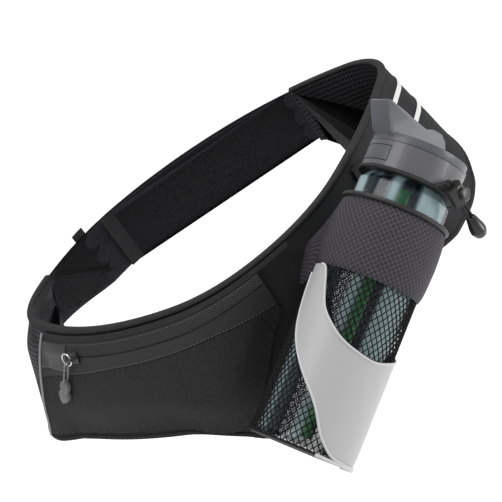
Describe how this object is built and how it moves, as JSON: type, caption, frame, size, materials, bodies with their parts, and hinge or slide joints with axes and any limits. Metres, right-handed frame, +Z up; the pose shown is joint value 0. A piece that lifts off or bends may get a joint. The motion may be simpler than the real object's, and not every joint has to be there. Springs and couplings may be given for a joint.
{
  "type": "running waist pack with bottle holster",
  "caption": "Soft mesh waist belt with a zipped pocket, a slanted netting holster and a flip-lid drinking bottle held by a locked draw cord.",
  "frame": {"origin": "middle of the waist opening at half the height of the belt", "axes": "+Z up as worn, the pack and bottle on the -Y side, the belt joint on the +Y side"},
  "size_m": [0.4103, 0.3692, 0.184],
  "materials": {
    "belt_mesh": "soft spacer mesh, matt",
    "wing_mesh": "spacer mesh, matt",
    "panel_cloth": "plain woven nylon, matt",
    "pocket_cloth": "stretch woven cloth, matt",
    "binding": "folded woven tape",
    "reflective": "reflective woven ribbon",
    "zip_tape": "woven zip tape",
    "zip_coil": "nylon coil",
    "garage": "bonded film, satin",
    "piping_grey": "wrapped piping",
    "slider_metal": "painted die-cast",
    "loop_wire": "bright wire",
    "pull_cord": "braided cord",
    "pull_grip": "moulded, matt",
    "bottle_clear": "clear tinted, polished",
    "seal": "soft seal",
    "cap_grey": "satin moulded",
    "lid_grey": "polished moulded",
    "spout": "soft moulded",
    "straw_green": "clear green tube",
    "pin_steel": "plain",
    "netting": "knotted diamond netting",
    "collar_cloth": "embossed ripstop, padded",
    "collar_trim": "wrapped piping",
    "boot_cloth": "coated cloth, smooth",
    "cord": "braided elastic cord",
    "lock_plastic": "moulded",
    "drop_rubber": "moulded"
  },
  "bodies": {
    "pack": {"back_pad": "panel_cloth", "left_wing": "wing_mesh", "right_wing": "panel_cloth", "right_wing_lining": "belt_mesh", "top_binding": "binding", "bottom_binding": "binding", "belt_right": "belt_mesh", "belt_left": "belt_mesh", "belt_tab": "binding", "reflective_strip_upper": "reflective", "reflective_strip_lower": "reflective", "pocket_front": "pocket_cloth", "pocket_yoke": "binding", "pocket_gusset": "binding", "pocket_lining": "panel_cloth", "zip_tape_upper": "zip_tape", "zip_tape_lower": "zip_tape", "zip_coil": "zip_coil", "garage_patch": "garage", "pocket_piping": "piping_grey", "holster_net": "netting", "holster_side_upper": "netting", "holster_side_lower": "netting", "holster_collar": "collar_cloth", "collar_piping": "collar_trim", "boot": "boot_cloth", "holster_base": "boot_cloth", "boot_piping": "piping_grey", "draw_cord": "cord", "cord_keeper": "binding"},
    "zip_slider": {"zip_slider": "slider_metal"},
    "pull_loop": {"slider_loop": "loop_wire"},
    "zip_pull": {"pull_cord": "pull_cord", "pull_tab": "pull_grip"},
    "closure": {"closure_panel": "panel_cloth", "hook_tape": "zip_coil"},
    "bottle": {"bottle_body": "bottle_clear"},
    "cap_seal": {"gasket": "seal"},
    "cap": {"cap": "cap_grey", "lid_pin": "pin_steel", "spout": "spout", "straw_sleeve": "cap_grey", "straw": "straw_green"},
    "lid": {"lid": "lid_grey"},
    "catch": {"cap_button": "lid_grey"},
    "lock": {"cord_lock": "lock_plastic", "lock_spring": "pin_steel"},
    "lock_button": {"lock_button": "lock_plastic"},
    "cord_end": {"cord_end_left": "cord", "cord_end_right": "cord", "cord_drop": "drop_rubber"}
  },
  "joints": [
    {"name": "zip_travel", "type": "hinge", "parent": "pack", "child": "zip_slider", "pos_m": [0.06019, 0.08673, 0.012], "axis": [0, 0, 1], "range_deg": [0, 22]},
    {"name": "loop_swing", "type": "hinge", "parent": "zip_slider", "child": "pull_loop", "pos_m": [-0.15321, -0.05519, 0.01347], "axis": [0.2424, 0.1653, 0.956], "range_deg": [0, 110]},
    {"name": "pull_swing", "type": "hinge", "parent": "pull_loop", "child": "zip_pull", "pos_m": [-0.15602, -0.05106, 0.01347], "axis": [-0.7899, -0.5385, 0.2934], "range_deg": [-25, 8]},
    {"name": "closure_peel", "type": "hinge", "parent": "pack", "child": "closure", "pos_m": [-0.08578, 0.11544, 0], "axis": [0, 0, -1], "range_deg": [0, 80]},
    {"name": "bottle_slide", "type": "slide", "parent": "pack", "child": "bottle", "axis": [0.842, 0.3346, 0.4232], "range_m": [0, 0.2]},
    {"name": "cap_rise", "type": "slide", "parent": "bottle", "child": "cap_seal", "axis": [0.842, 0.3346, 0.4232], "range_m": [0, 0.0081]},
    {"name": "cap_turn", "type": "hinge", "parent": "cap_seal", "child": "cap", "pos_m": [-0.047, -0.1977, -0.0779], "axis": [0.842, 0.3346, 0.4232], "range_deg": [0, 720]},
    {"name": "lid_flip", "type": "hinge", "parent": "cap", "child": "lid", "pos_m": [0.15406, -0.11908, -0.01457], "axis": [-0.3553, 0.9342, -0.0316], "range_deg": [0, 100]},
    {"name": "catch_press", "type": "slide", "parent": "cap", "child": "catch", "axis": [0.4059, 0.1238, -0.9055], "range_m": [0, 0.001], "stiffness_N_per_m": 400},
    {"name": "lock_slide", "type": "slide", "parent": "pack", "child": "lock", "axis": [0, 0, 1], "range_m": [0, 0.002]},
    {"name": "lock_press", "type": "slide", "parent": "lock", "child": "lock_button", "axis": [-0.5524, 0.8336, 0], "range_m": [0, 0.002], "stiffness_N_per_m": 400},
    {"name": "cord_swing", "type": "hinge", "parent": "pack", "child": "cord_end", "pos_m": [0.14146, -0.17074, -0.00852], "axis": [0.8336, 0.5524, 0], "range_deg": [-20, 20]}
  ],
  "couplings": [
    {"joint": "cap_rise", "follows": "cap_turn", "m_per_rad": 0.00063662}
  ]
}
